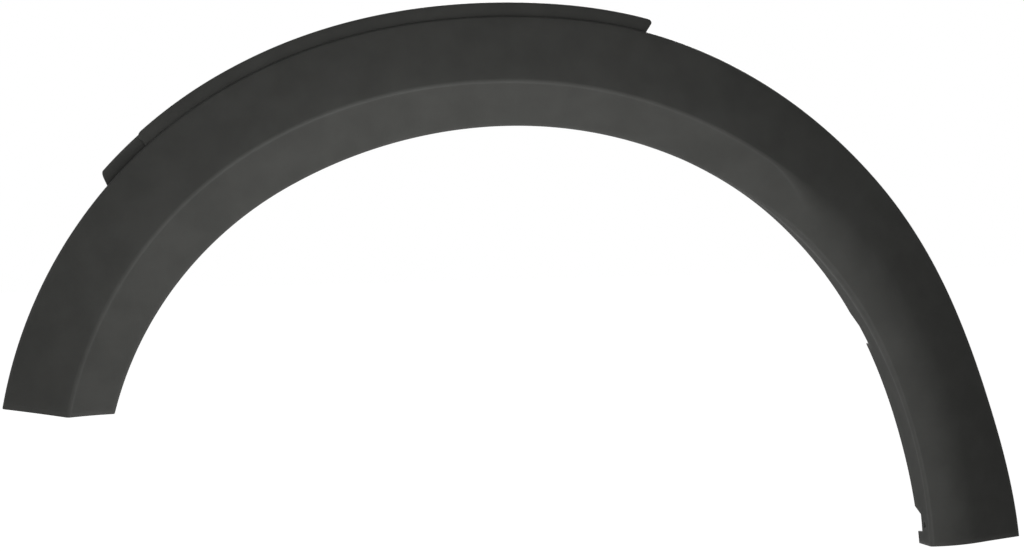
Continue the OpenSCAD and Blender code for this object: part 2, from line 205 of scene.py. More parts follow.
@dataclass
class TrimForm:
    """The trim's form: its section at each station, and where a section's point lies in space.

    In a section, u is the distance outward from the opening's edge and y the depth behind the
    crease.
    """

    edge: OpeningEdge = field(default_factory=OpeningEdge)
    face_w: Course = Course(
        ((-460, 94.5), (-185, 101), (0, 96), (110, 97), (310, 89.5), (501, 84), (621, 94.5))
    )
    crease_u: Course = Course(((-460, 40), (-185, 45.5), (0, 40.5), (225, 37), (621, 37)))
    return_d: Course = Course(((-460, 22), (110, 22), (225, 22), (310, 35), (501, 45), (621, 33)))
    draft: Course = Course(((-460, 0.6), (110, 0.6), (225, 0.6), (501, 0), (621, 0)))
    opening_r: Course = Course(((-460, 3), (110, 3), (225, 3), (310, 10), (501, 6), (621, 6)))
    fade_start: float = 225.0
    fade_len: float = 100.0
    bend_u: float = 25.0
    bend_r: float = 46.0
    crease_r: float = 6.0
    edge_r: float = 3.0
    wall: float = 2.5
    chamfer_fall: float = 14.0
    face_fall: float = 24.0
    outer_return_d: float = 12.0
    outer_return_lean: float = 2.0
    front_sweep: float = 38.0
    rear_sweep: float = 22.0
    sweep_half_w: float = 450.0
    front_cut_slant: float = 0.18
    front_cut_rake: float = 0.165
    rear_cut_slant: float = 0.03
    rear_cut_rake: float = 0.1
    tower_inset: float = 24.0
    hole_row: float = 14.0
    row_step: float = 4.5
    rim_row: float = 0.8
    flat_shares: tuple[float, ...] = (0.08, 0.3, 0.5, 0.7, 0.92)
    rounding_steps: tuple[int, ...] = (8, 10, 6)
    rounding_shares: tuple[float, ...] = (0.2, 0.78, 0.78)
    least_r: float = 0.2
    cut_power: int = 4
    datum: Vector = field(init=False)

    def __post_init__(self) -> None:
        """Finds the trim's origin: the foot of the locating pin over the crown."""
        self.datum = Vector((0, 0, 0))
        self.datum = self.place(0, self.tower_u(0), self.body_y) / MM

    @property
    def body_y(self) -> float:
        """Depth of the plane in which the trim meets the car body."""
        return self.face_fall + self.outer_return_d

    def tower_u(self, s: float) -> float:
        """Distance of a fixing tower's middle from the opening."""
        return self.face_w.at(s) - self.tower_inset

    def place(self, s: float, u: float, y: float) -> Vector:
        """A section's point in space.

        Args:
            s: The station.
            u: Distance outward from the opening's edge.
            y: Depth behind the crease.

        Returns:
            The point in the frame, in metres.
        """
        e = self.edge.at(s)
        x = e.x + u * math.sin(e.turn)
        reach = self.front_sweep if x < 0 else self.rear_sweep
        back = reach * (x / self.sweep_half_w) ** 2
        return (Vector((x, back + y, e.z + u * math.cos(e.turn))) - self.datum) * MM

    def local_frame(self, s: float, u: float, y: float) -> Matrix:
        """The frame at a place: X along the edge, Y to the car body and Z outward, in metres."""
        turn = self.edge.at(s).turn
        return Matrix.Translation(self.place(s, u, y)) @ Matrix.Rotation(turn, 4, "Y")

    def cut(self, s: float, u: float, y: float) -> float:
        """The station that a section's point moves to, because both legs end in a slanted cut.

        Args:
            s: The point's station on the uncut blank.
            u: Its distance outward from the opening's edge.
            y: Its depth behind the crease.

        Returns:
            The station that it gets, further from s the nearer the leg's end is.
        """
        depth = y - self.chamfer_fall
        if s < 0:
            share = (-s / self.edge.front_len) ** self.cut_power
            return s - share * (self.front_cut_slant * u - self.front_cut_rake * depth)
        share = (s / self.edge.rear_len) ** self.cut_power
        return s + share * (self.rear_cut_slant * u + self.rear_cut_rake * depth)

    def cut_place(self, s: float, p: Vector) -> Vector:
        """Where a section's point (u, y) lies in space once the legs have their slanted ends."""
        return self.place(self.cut(s, p.x, p.y), p.x, p.y)

    def fade(self, s: float) -> float:
        """How far the crease has faded into the rounded bend, from 0 to 1."""
        return ease((s - self.fade_start) / self.fade_len)

    def crease_at(self, s: float) -> float:
        """Distance of the crease, or of the bend that it fades into, from the opening."""
        f = self.fade(s)
        return self.crease_u.at(s) * (1 - f) + self.bend_u * f

    def face_y(self, s: float, u: float) -> float:
        """Depth of the face's outer band at distance u from the opening."""
        crease = self.crease_at(s)
        return self.face_fall * (u - crease) / (self.face_w.at(s) - crease)

    def outer_wall_u(self, s: float, y: float) -> float:
        """Distance of the outer return wall from the opening at depth y."""
        share = (y - self.face_fall) / self.outer_return_d
        return self.face_w.at(s) - self.outer_return_lean * share

    def corners(self, s: float, back_d: float) -> list[Vector]:
        """The section's five corners on its outer side.

        Args:
            s: The station.
            back_d: Depth of the opening's return wall there.

        Returns:
            The corners as (u, y), from the return wall's back edge to the outer one's.
        """
        full_d = self.return_d.at(s)
        return [
            Vector((self.draft.at(s) * back_d / full_d, self.chamfer_fall + back_d)),
            Vector((0, self.chamfer_fall)),
            Vector((self.crease_at(s), 0)),
            Vector((self.face_w.at(s), self.face_fall)),
            Vector((self.outer_wall_u(s, self.body_y), self.body_y)),
        ]

    def line(self, s: float, back_d: float, inset: float = 0.0) -> list[Vector]:
        """The section's line, with its corners rounded.

        Args:
            s: The station.
            back_d: Depth of the opening's return wall there.
            inset: How far inside the wall's outer surface the line runs.

        Returns:
            The points as (u, y), the same number at every station and inset.
        """
        k = self.corners(s, back_d)
        if inset:
            k = self._inner(k, inset)
        f = self.fade(s)
        bend = self.crease_r * (1 - f) + self.bend_r * f
        radii = (self.opening_r.at(s), bend, self.edge_r)
        points = [k[0]]
        for i, radius in enumerate(radii):
            arc = rounded(
                k[i], k[i + 1], k[i + 2], max(radius - inset, self.least_r),
                self.rounding_steps[i], self.rounding_shares[i],
            )
            shares = self.flat_shares if i else self._return_rows(back_d, (arc[0] - k[1]).length)
            points += between(points[-1], arc[0], shares) + arc
        return points + between(points[-1], k[-1], self.flat_shares) + [k[-1]]

    def _return_rows(self, back_d: float, rounded_d: float) -> list[float]:
        """Shares of the opening's return wall for its rows, one of them level with the holes.

        Args:
            back_d: Depth of the wall's back edge.
            rounded_d: Depth at which the rounding of the opening's edge ends.

        Returns:
            The shares, from the back edge to the rounding.
        """
        above, below = self.hole_row + self.row_step, self.hole_row - self.row_step
        rim = back_d - self.rim_row
        depths = (rim, (rim + above) / 2, above, self.hole_row, below, (below + rounded_d) / 2)
        return [(back_d - d) / (back_d - rounded_d) for d in depths]

    def _inner(self, k: Sequence[Vector], inset: float) -> list[Vector]:
        """The section's corners moved inward.

        Args:
            k: The corners on the outer side.
            inset: How far they move in from the surfaces.

        Returns:
            The moved corners.
        """
        moved = [k[0] + Vector((inset, 0))]
        for a, b, c in zip(k, k[1:], k[2:]):
            p, q = (a - b).normalized(), (c - b).normalized()
            moved.append(b + (p + q).normalized() * inset / math.sin(p.angle(q) / 2))
        return moved + [k[-1] - Vector((inset, 0))]

    def inside_line(self, s: float) -> list[Vector]:
        """The wall's middle line between the two return walls.

        Args:
            s: The station.

        Returns:
            The line's points as (u, y), the same number at every station.
        """
        line = self.line(s, self.return_d.at(s), self.wall / 2)
        # The outer return wall has so many points, and the opening's return wall one more.
        on_wall = len(self.flat_shares) + 2
        return line[on_wall + 1 : -on_wall]


Former = Callable[[int, int], tuple[Vector, Vector]]


class Blank:
    """A flat sheet of faces that is formed to shape and then thickened into a plate."""

    # Each side of a new hole is cut this often, and then moved out to the hole's circle.
    HOLE_SIDE_CUTS = 7
    # A point nearer the hole's middle than this many radii is on the hole's rim.
    RIM_REACH = 1.02

    def __init__(self, along: int, across: int, former: Former) -> None:
        """Forms the sheet.

        Args:
            along: Faces along the blank.
            across: Faces across it.
            former: Gives the near and the far surface's point for a row and a column.
        """
        self.bm = bmesh.new()
        bmesh.ops.create_grid(self.bm, x_segments=along, y_segments=across, size=0.5)
        self.through = self.bm.verts.layers.float_vector.new("through")
        for v in self.bm.verts:
            near, far = former(round((v.co.x + 0.5) * along), round((v.co.y + 0.5) * across))
            v.co, v[self.through] = near, far - near

    def pierce(self, centre: Vector, axis: Vector, radius: float, wall: float) -> None:
        """Cuts a round hole in the sheet, before it is thickened.

        Args:
            centre: The hole's centre on the near surface, in metres.
            axis: Unit vector through the wall, from the near surface to the far one.
            radius: The hole's radius in metres.
            wall: The wall's thickness in metres.
        """
        middle = min(self.bm.verts, key=lambda v: (v.co - centre).length_squared)
        middle.co = centre
        ring = bmesh.ops.bevel(
            self.bm, geom=[middle], offset=radius, offset_type="OFFSET", segments=1,
            profile=0.5, affect="VERTICES", material=-1,
        )
        sides = list({e for f in ring["faces"] for e in f.edges})
        bmesh.ops.subdivide_edges(self.bm, edges=sides, cuts=self.HOLE_SIDE_CUTS)
        reach = self.RIM_REACH * radius
        rim = {v for v in self.bm.verts if (v.co - centre).length < reach}
        for v in rim:
            spoke = v.co - centre
            v.co = centre + (spoke - axis * spoke.dot(axis)).normalized() * radius
            v[self.through] = axis * wall
        plug = [f for f in self.bm.faces if all(v in rim for v in f.verts)]
        bmesh.ops.delete(self.bm, geom=plug, context="FACES_ONLY")

    def thicken(self) -> bmesh.types.BMesh:
        """Gives the sheet its far surface and its rims.

        Returns:
            The closed plate.
        """
        grown = bmesh.ops.extrude_face_region(self.bm, geom=self.bm.faces[:])["geom"]
        for v in grown:
            if isinstance(v, bmesh.types.BMVert):
                v.co += v[self.through]
        bmesh.ops.recalc_face_normals(self.bm, faces=self.bm.faces[:])
        return self.bm


def soften(bm: bmesh.types.BMesh, radius: float, segments: int = 2, angle: float = 60.0) -> None:
    """Rounds a mesh's sharp edges.

    Args:
        bm: The closed mesh.
        radius: The rounding's width, in the mesh's own units.
        segments: Faces across the rounding.
        angle: Edges whose faces turn by more than this are rounded.
    """
    limit = math.radians(angle)
    sharp = [e for e in bm.edges if e.is_manifold and e.calc_face_angle() > limit]
    bmesh.ops.bevel(
        bm, geom=sharp, offset=radius, offset_type="OFFSET", segments=segments,
        profile=0.5, affect="EDGES", clamp_overlap=False, material=-1,
    )


@dataclass(frozen=True)
class Relief:
    """A cut in the return wall's back edge, which a slant leads into from the crown's side."""

    start: float
    end: float
    lead: float
    left_d: float

    def depth(self, s: float, full_d: float) -> float:
        """Depth of the return wall at a station.

        Args:
            s: The station.
            full_d: The wall's depth there without the cut.

        Returns:
            The depth that the cut leaves.
        """
        if not self.start - self.lead < s < self.end:
            return full_d
        rise = max(0.0, self.start - s) / self.lead
        return self.left_d + rise * (full_d - self.left_d)


@dataclass
class FaceShell:
    """The face with its two return walls, its reliefs and its screw holes."""

    form: TrimForm
    station_step: float = 4.5
    rim_r: float = 0.5
    relief_s: float = 416.0
    relief_len: float = 20.0
    relief_lead: float = 13.0
    relief_d: float = 8.0
    foot_relief_from_end: float = 18.0
    foot_relief_len: float = 17.0
    foot_relief_lead: float = 6.0
    foot_relief_left_d: float = 22.0
    relief_edge: float = 0.4
    hole_clear: float = 4.4
    least_gap: float = 1.0
    screw_d: float = 6.0
    screw_hole_d: float = 14.0
    front_screws: int = 2
    front_screw_from_end: float = 30.0

    def reliefs(self) -> list[Relief]:
        """The two cuts in the return wall's back edge.

        Returns:
            The shallow one and the one at the foot, at the stations of the uncut blank.
        """
        form = self.form
        foot = form.edge.rear_len - self.foot_relief_from_end
        half = self.foot_relief_len / 2
        shift = form.cut(foot, 0, form.chamfer_fall + self.foot_relief_left_d) - foot
        shallow_left = form.return_d.at(self.relief_s) - self.relief_d
        start, end = (self.relief_s + self.relief_len * f for f in (-0.5, 0.5))
        return [
            Relief(start, end, self.relief_lead, shallow_left),
            Relief(
                foot - half - shift, foot + half - shift,
                self.foot_relief_lead, self.foot_relief_left_d,
            ),
        ]

    def back_d(self, s: float) -> float:
        """Depth of the opening's return wall at a station, reliefs included."""
        full = self.form.return_d.at(s)
        return min(r.depth(s, full) for r in self.reliefs())

    def screw_stations(self) -> list[float]:
        """Where the screw holes are.

        Returns:
            Their stations: over the crown, down the front leg and at the rear foot.
        """
        edge = self.form.edge
        pitch = (edge.front_len - self.front_screw_from_end) / self.front_screws
        front = [-i * pitch for i in range(self.front_screws + 1)]
        return front + [edge.rear_len - self.foot_relief_from_end]

    def stations(self) -> list[float]:
        """Where the blank's rows are.

        Returns:
            Their stations: evenly spaced, and exact at the reliefs, the holes and the ends.
        """
        edge = self.form.edge
        exact = [-edge.front_len, edge.rear_len]
        for r in self.reliefs():
            exact += [r.start - r.lead, r.start, r.end - self.relief_edge, r.end]
        holes = [self._uncut(s) for s in self.screw_stations()]
        beside = [s + d for s in holes for d in (-self.hole_clear, self.hole_clear)]
        exact = [s for s in exact if self._clear(s, holes, self.hole_clear)] + holes
        exact += [s for s in beside if self._clear(s, exact, self.least_gap)]
        count = round((edge.front_len + edge.rear_len) / self.station_step)
        step = (edge.front_len + edge.rear_len) / count
        even = [-edge.front_len + i * step for i in range(count + 1)]
        return sorted(exact + [s for s in even if self._clear(s, exact, step / 2)])

    @staticmethod
    def _clear(s: float, others: Iterable[float], distance: float) -> bool:
        """Whether a station is further than the distance from all the others."""
        return all(abs(s - other) > distance for other in others)

    def _uncut(self, s: float) -> float:
        """The blank's station that the slanted cut moves to s, at the holes' depth."""
        depth = self.form.chamfer_fall + self.screw_hole_d
        return 2 * s - self.form.cut(s, 0, depth)

    def build(self) -> bmesh.types.BMesh:
        """Forms the shell.

        Returns:
            The closed mesh.
        """
        form = self.form
        places = self.stations()
        depths = [self.back_d(s) for s in places]
        outer = [form.line(s, d) for s, d in zip(places, depths)]
        inner = [form.line(s, d, form.wall) for s, d in zip(places, depths)]

        def former(i: int, j: int) -> tuple[Vector, Vector]:
            """The outer and the inner surface's point at station i and line point j."""
            s = places[i]
            return form.cut_place(s, outer[i][j]), form.cut_place(s, inner[i][j])

        blank = Blank(len(places) - 1, len(outer[0]) - 1, former)
        for s in self.screw_stations():
            drafted = form.draft.at(s) / form.return_d.at(s)
            y = form.chamfer_fall + self.screw_hole_d
            centre = form.place(s, drafted * self.screw_hole_d, y)
            turn = form.edge.at(s).turn
            axis = Vector((math.sin(turn), -drafted, math.cos(turn))).normalized()
            blank.pierce(centre, axis, self.screw_d / 2 * MM, form.wall * MM)
        bm = blank.thicken()
        soften(bm, self.rim_r * MM)
        return bm


@dataclass
class CrossPlates:
    """The plates across the section: an end wall in either foot, and the low ribs between."""

    form: TrimForm
    end_wall_d: float = 10.0
    end_wall_t: float = 2.5
    end_wall_recess: float = 0.8
    rib_t: float = 1.8
    rib_h: float = 5.0
    rim_r: float = 0.35

    def _plate(
        self, s0: float, s1: float, back: Callable[[list[Vector]], list[Vector]]
    ) -> bmesh.types.BMesh:
        """A plate between two stations.

        Args:
            s0: The station of its near side.
            s1: The station of its far side.
            back: Gives the back line that belongs to an inside line.

        Returns:
            The closed plate.
        """
        fronts = [self.form.inside_line(s) for s in (s0, s1)]
        lines = [(front, back(front)) for front in fronts]

        def former(i: int, j: int) -> tuple[Vector, Vector]:
            """The near and the far side's point: j is 0 on the face and 1 on the back line."""
            near, far = lines[0][j][i], lines[1][j][i]
            return self.form.cut_place(s0, near), self.form.cut_place(s1, far)

        bm = Blank(len(fronts[0]) - 1, 1, former).thicken()
        soften(bm, self.rim_r * MM)
        return bm

    def _straight(self, front: list[Vector]) -> list[Vector]:
        """A straight back line, set back from the front line's two ends.

        Args:
            front: The front line.

        Returns:
            The back line's points, one behind each point of the front line.
        """
        first, final = front[0], front[-1]
        span = final.x - first.x
        fall = final.y - first.y
        return [
            Vector((p.x, first.y + fall * (p.x - first.x) / span + self.end_wall_d))
            for p in front
        ]

    def _followed(self, front: list[Vector]) -> list[Vector]:
        """A back line that follows the face."""
        return [p + Vector((0, self.rib_h)) for p in front]

    def build(self, rib_stations: Iterable[float]) -> list[bmesh.types.BMesh]:
        """Makes the end walls and the ribs.

        Args:
            rib_stations: The stations of the ribs' middles.

        Returns:
            The two end walls and a rib at each station, as closed plates.
        """
        edge = self.form.edge
        outside = [self.end_wall_recess, self.end_wall_recess + self.end_wall_t]
        front = [-edge.front_len + d for d in outside]
        rear = [edge.rear_len - d for d in reversed(outside)]
        plates = [self._plate(*ends, self._straight) for ends in (front, rear)]
        half = self.rib_t / 2
        return plates + [self._plate(s - half, s + half, self._followed) for s in rib_stations]


@dataclass
class TopLip:
    """A ledge that leaves the outer return wall and falls back towards its tip, further out."""

    form: TrimForm
    start: float
    end: float
    y: float
    width: float
    start_slant: float = 0.0
    end_slant: float = 0.0
    thickness: float = 2.5
    fall: float = 5.0
    corner_r: float = 4.0
    rim_r: float = 0.8
    station_step: float = 5.0
    corner_steps: int = 5
    across: int = 3
    slant_power: int = 8

    def stations(self) -> list[float]:
        """Where the lip's rows are.

        Returns:
            Their stations, close together round the lip's two corners.
        """
        turns = [math.pi / 2 * i / self.corner_steps for i in range(self.corner_steps + 1)]
        ends = [self.corner_r * (1 - math.cos(a)) for a in turns]
        low, high = self.start + 2 * self.corner_r, self.end - 2 * self.corner_r
        count = max(1, round((high - low) / self.station_step))
        middle = [low + (high - low) * i / count for i in range(count + 1)]
        return [self.start + d for d in ends] + middle + [self.end - d for d in reversed(ends)]

    def build(self) -> bmesh.types.BMesh:
        """Forms the lip.

        Returns:
            The closed plate.
        """
        form, places = self.form, self.stations()

        def former(i: int, j: int) -> tuple[Vector, Vector]:
            """The front and the back surface's point.

            Args:
                i: The station's number.
                j: How many steps the point is from the root.

            Returns:
                The two points in the frame, in metres.
            """
            s = places[i]
            f = (s - self.start) / (self.end - self.start)
            near_start, near_end = (1 - f) ** self.slant_power, f**self.slant_power
            slant = self.start_slant * near_start + self.end_slant * near_end
            inset = max(0.0, self.corner_r - min(s - self.start, self.end - s))
            root = form.outer_wall_u(s, self.y + self.thickness / 2) - form.wall / 2
            round_off = self.corner_r - math.sqrt(max(0.0, self.corner_r**2 - inset**2))
            tip = form.face_w.at(s) + self.width - round_off
            u = root + (tip - root) * j / self.across
            y = self.y + self.fall * (u - form.face_w.at(s)) / self.width
            moved = s + slant * (u - root)
            return form.place(moved, u, y), form.place(moved, u, y + self.thickness)

        bm = Blank(len(places) - 1, self.across, former).thicken()
        soften(bm, self.rim_r * MM)
        return bm


class TowerHead(Enum):
    """What a fixing tower carries on its top."""

    CLIP_SLOT = "clip slot"
    LOCATING_PIN = "locating pin"


@dataclass
class FixingTower:
    """A box behind the face, open towards the opening, with its flat top in the body plane."""

    form: TrimForm
    s: float
    head: TowerHead
    length: float = 20.0
    width: float = 16.0
    wall: float = 2.0
    slot_w: float = 7.0
    slot_steps: int = 12
    level_within: float = 0.0001
    rim_r: float = 0.4
    pin_d: float = 6.0
    pin_len: float = 12.0
    pin_tip: float = 3.0
    pin_sides: int = 40

    def _box(self) -> bmesh.types.BMesh:
        """The tower's walls and top, still without thickness.

        Returns:
            The sheet, with x along the edge, y in depth and z outward.
        """
        bm = bmesh.new()
        bmesh.ops.create_cube(bm, size=1.0)
        size = (self.length, self.form.body_y, self.width)
        bmesh.ops.scale(bm, verts=bm.verts[:], vec=size)
        open_sides = [f for f in bm.faces if min(f.normal.y, f.normal.z) < -FACING]
        bmesh.ops.delete(bm, geom=open_sides, context="FACES")
        return bm

    def _cut_slot(self, bm: bmesh.types.BMesh) -> None:
        """Cuts the clip slot into the top, from its open side to a round end at the middle.

        Args:
            bm: The tower's walls and top, which the slot is cut into.
        """
        half = self.slot_w / 2
        along, outward = (1, 0, 0), (0, 0, 1)
        for co, no in (((half, 0, 0), along), ((-half, 0, 0), along), ((0, 0, 0), outward)):
            top = [f for f in bm.faces if f.normal.y > FACING]
            verts = {v for f in top for v in f.verts}
            edges = {e for f in top for e in f.edges}
            bmesh.ops.bisect_plane(bm, geom=[*verts, *edges, *top], plane_co=co, plane_no=no)
        inside = [
            f for f in bm.faces
            if f.normal.y > FACING and abs(f.calc_center_median().x) < half
            and f.calc_center_median().z < 0
        ]
        level = self.level_within
        end = [e for f in inside for e in f.edges if all(abs(v.co.z) < level for v in e.verts)]
        bmesh.ops.delete(bm, geom=inside, context="FACES")
        parts = bmesh.ops.subdivide_edges(bm, edges=end, cuts=self.slot_steps - 1)
        for v in parts["geom_inner"]:
            if isinstance(v, bmesh.types.BMVert):
                angle = math.pi * (v.co.x / self.slot_w)
                v.co.x, v.co.z = half * math.sin(angle), half * math.cos(angle)

    def _seated(self, bm: bmesh.types.BMesh) -> None:
        """Stands the box on the face's inside, with its top square to a pin.

        Args:
            bm: The box, whose points move to their places in the frame.
        """
        middle = self.form.tower_u(self.s)
        top_y = self.form.place(self.s, middle, self.form.body_y).y
        for v in bm.verts:
            s, u = self.s + v.co.x, middle + v.co.z
            drop = self.form.body_y / 2 - v.co.y
            on_top = v.co.y > 0
            v.co = self.form.place(s, u, self.form.face_y(s, u) + self.form.wall / 2)
            if on_top:
                v.co.y = top_y - drop * MM

    def pin(self) -> bmesh.types.BMesh:
        """Makes the locating pin, sunk half a wall into the tower's top.

        Returns:
            The pin with its tapered tip, as a closed mesh.
        """
        bm = bmesh.new()
        radius, sunk = self.pin_d / 2, self.wall / 2
        straight = sunk + self.pin_len - self.pin_tip
        bmesh.ops.create_cone(
            bm, cap_ends=True, segments=self.pin_sides, radius1=radius, radius2=radius,
            depth=straight,
        )
        bmesh.ops.translate(bm, verts=bm.verts[:], vec=(0, 0, straight / 2 - sunk))
        cap = max(bm.faces, key=lambda f: f.calc_center_median().z)
        bmesh.ops.inset_individual(bm, faces=[cap], thickness=self.pin_tip / 2, depth=self.pin_tip)
        stand = Matrix.Rotation(-math.pi / 2, 4, "X") @ Matrix.Scale(MM, 4)
        spot = self.form.local_frame(self.s, self.form.tower_u(self.s), self.form.body_y)
        bmesh.ops.transform(bm, verts=bm.verts[:], matrix=spot @ stand)
        return bm

    def build(self) -> bmesh.types.BMesh:
        """Makes the tower without its pin.

        Returns:
            The closed mesh.
        """
        box = self._box()
        if self.head is TowerHead.CLIP_SLOT:
            self._cut_slot(box)
        bmesh.ops.solidify(box, geom=box.faces[:], thickness=self.wall)
        bmesh.ops.recalc_face_normals(box, faces=box.faces[:])
        soften(box, self.rim_r)
        self._seated(box)
        return box


@dataclass(frozen=True)
class EdgePolish:
    """Where the grain is rubbed smooth: on the tight outward roundings, as a vertex attribute.

    It grows from nothing at blunt_r, a rounding's radius in metres, to full at sharp_r.
    """

    attribute: str = "polish"
    blunt_r: float = 0.03
    sharp_r: float = 0.01
    spread: int = 1

    @staticmethod
    def _curvature(e: bmesh.types.BMEdge) -> float:
        """One over the radius of the surface across an edge, below 0 where it is hollow."""
        width = sum(f.calc_area() for f in e.link_faces) / (2 * e.calc_length())
        return e.calc_face_angle_signed(0.0) / width

    def mark(self, mesh: bpy.types.Mesh) -> None:
        """Writes the attribute: 1 on the roundings and 0 on what is flat or hollow.

        Args:
            mesh: The finished mesh.
        """
        bm = bmesh.new()
        bm.from_mesh(mesh)
        polish = bm.verts.layers.float.new(self.attribute)
        low, high = 1 / self.blunt_r, 1 / self.sharp_r
        for v in bm.verts:
            most = max(self._curvature(e) for e in v.link_edges)
            v[polish] = min(1.0, max(0.0, (most - low) / (high - low)))
        for _ in range(self.spread):
            near = {v: [e.other_vert(v)[polish] for e in v.link_edges] for v in bm.verts}
            for v, values in near.items():
                v[polish] = (v[polish] + sum(values) / len(values)) / 2
        bm.to_mesh(mesh)
        bm.free()


@dataclass(frozen=True)
class GrainedPlastic:
    """Matte black moulded plastic with a fine etched grain, smoother where it is rubbed."""

    name: str = "grained_black_plastic"
    polish: EdgePolish = EdgePolish()
    polished_roughness: float = 0.5
    dark: tuple[float, float, float] = (0.0375, 0.0378, 0.0355)
    pale: tuple[float, float, float] = (0.0435, 0.0438, 0.0412)
    roughness: tuple[float, float] = (0.78, 0.88)
    specular_level: float = 0.12
    mottle_scale: float = 35.0
    mottle_detail: float = 6.0
    mottle_range: tuple[float, float] = (0.35, 0.65)
    grain_scale: float = 1500.0
    grain_softness: float = 0.6
    grain_strength: float = 0.5
    grain_depth: float = 0.00006

    def material(self) -> bpy.types.Material:
        """Builds the finish.

        Returns:
            The node material.
        """
        material = bpy.data.materials.new(self.name)
        material.use_nodes = True
        nodes, links = material.node_tree.nodes, material.node_tree.links
        shader = nodes["Principled BSDF"]
        shader.inputs["Specular IOR Level"].default_value = self.specular_level
        place = nodes.new("ShaderNodeTexCoord")
        rubbed = nodes.new("ShaderNodeAttribute")
        rubbed.attribute_name = self.polish.attribute

        mottle = nodes.new("ShaderNodeTexNoise")
        mottle.inputs["Scale"].default_value = self.mottle_scale
        mottle.inputs["Detail"].default_value = self.mottle_detail
        links.new(place.outputs["Object"], mottle.inputs["Vector"])

        colour = nodes.new("ShaderNodeValToRGB")
        shades = zip(colour.color_ramp.elements, self.mottle_range, (self.dark, self.pale))
        for element, position, shade in shades:
            element.position, element.color = position, (*shade, 1.0)
        links.new(mottle.outputs["Fac"], colour.inputs["Fac"])
        links.new(colour.outputs["Color"], shader.inputs["Base Color"])

        grain = nodes.new("ShaderNodeTexVoronoi")
        grain.feature = "SMOOTH_F1"
        grain.inputs["Scale"].default_value = self.grain_scale
        grain.inputs["Smoothness"].default_value = self.grain_softness
        links.new(place.outputs["Object"], grain.inputs["Vector"])

        gloss = nodes.new("ShaderNodeMapRange")
        gloss.inputs["To Min"].default_value = self.roughness[1]
        gloss.inputs["To Max"].default_value = self.roughness[0]
        links.new(grain.outputs["Distance"], gloss.inputs["Value"])
        worn = nodes.new("ShaderNodeMapRange")
        worn.inputs["To Max"].default_value = self.polished_roughness
        links.new(rubbed.outputs["Fac"], worn.inputs["Value"])
        links.new(gloss.outputs["Result"], worn.inputs["To Min"])
        links.new(worn.outputs["Result"], shader.inputs["Roughness"])

        bump = nodes.new("ShaderNodeBump")
        bump.inputs["Strength"].default_value = self.grain_strength
        bump.inputs["Distance"].default_value = self.grain_depth
        links.new(grain.outputs["Distance"], bump.inputs["Height"])
        links.new(bump.outputs["Normal"], shader.inputs["Normal"])
        return material


def gathered(parts: Iterable[bmesh.types.BMesh]) -> bmesh.types.BMesh:
    """Puts several meshes into one.

    Args:
        parts: The meshes, which are freed.

    Returns:
        One mesh, with each of them still a closed island of its own.
    """
    whole = bmesh.new()
    for part in parts:
        mesh = bpy.data.meshes.new("part")
        part.to_mesh(mesh)
        part.free()
        whole.from_mesh(mesh)
        bpy.data.meshes.remove(mesh)
    return whole


def as_object(name: str, bm: bmesh.types.BMesh) -> bpy.types.Object:
    """Puts a mesh into the scene as an object at the origin.

    Args:
        name: The object's name.
        bm: The mesh, which is freed.

    Returns:
        The object.
    """
    mesh = bpy.data.meshes.new(name)
    bm.to_mesh(mesh)
    bm.free()
    made = bpy.data.objects.new(name, mesh)
    bpy.context.scene.collection.objects.link(made)
    return made


def fuse(base: bpy.types.Object, parts: Iterable[bmesh.types.BMesh]) -> None:
    """Joins closed parts to an object's closed mesh.

    Args:
        base: The object, which gets the joined mesh.
        parts: The closed parts, which don't overlap one another.
    """
    tool = as_object("tool", gathered(parts))
    union = base.modifiers.new("union", "BOOLEAN")
    union.operation = "UNION"
    union.solver = "MANIFOLD"
    union.object = tool
    bpy.context.view_layer.update()
    whole = base.evaluated_get(bpy.context.evaluated_depsgraph_get())
    joined = bpy.data.meshes.new_from_object(whole)
    base.modifiers.clear()
    base.data = joined
    bpy.data.objects.remove(tool)


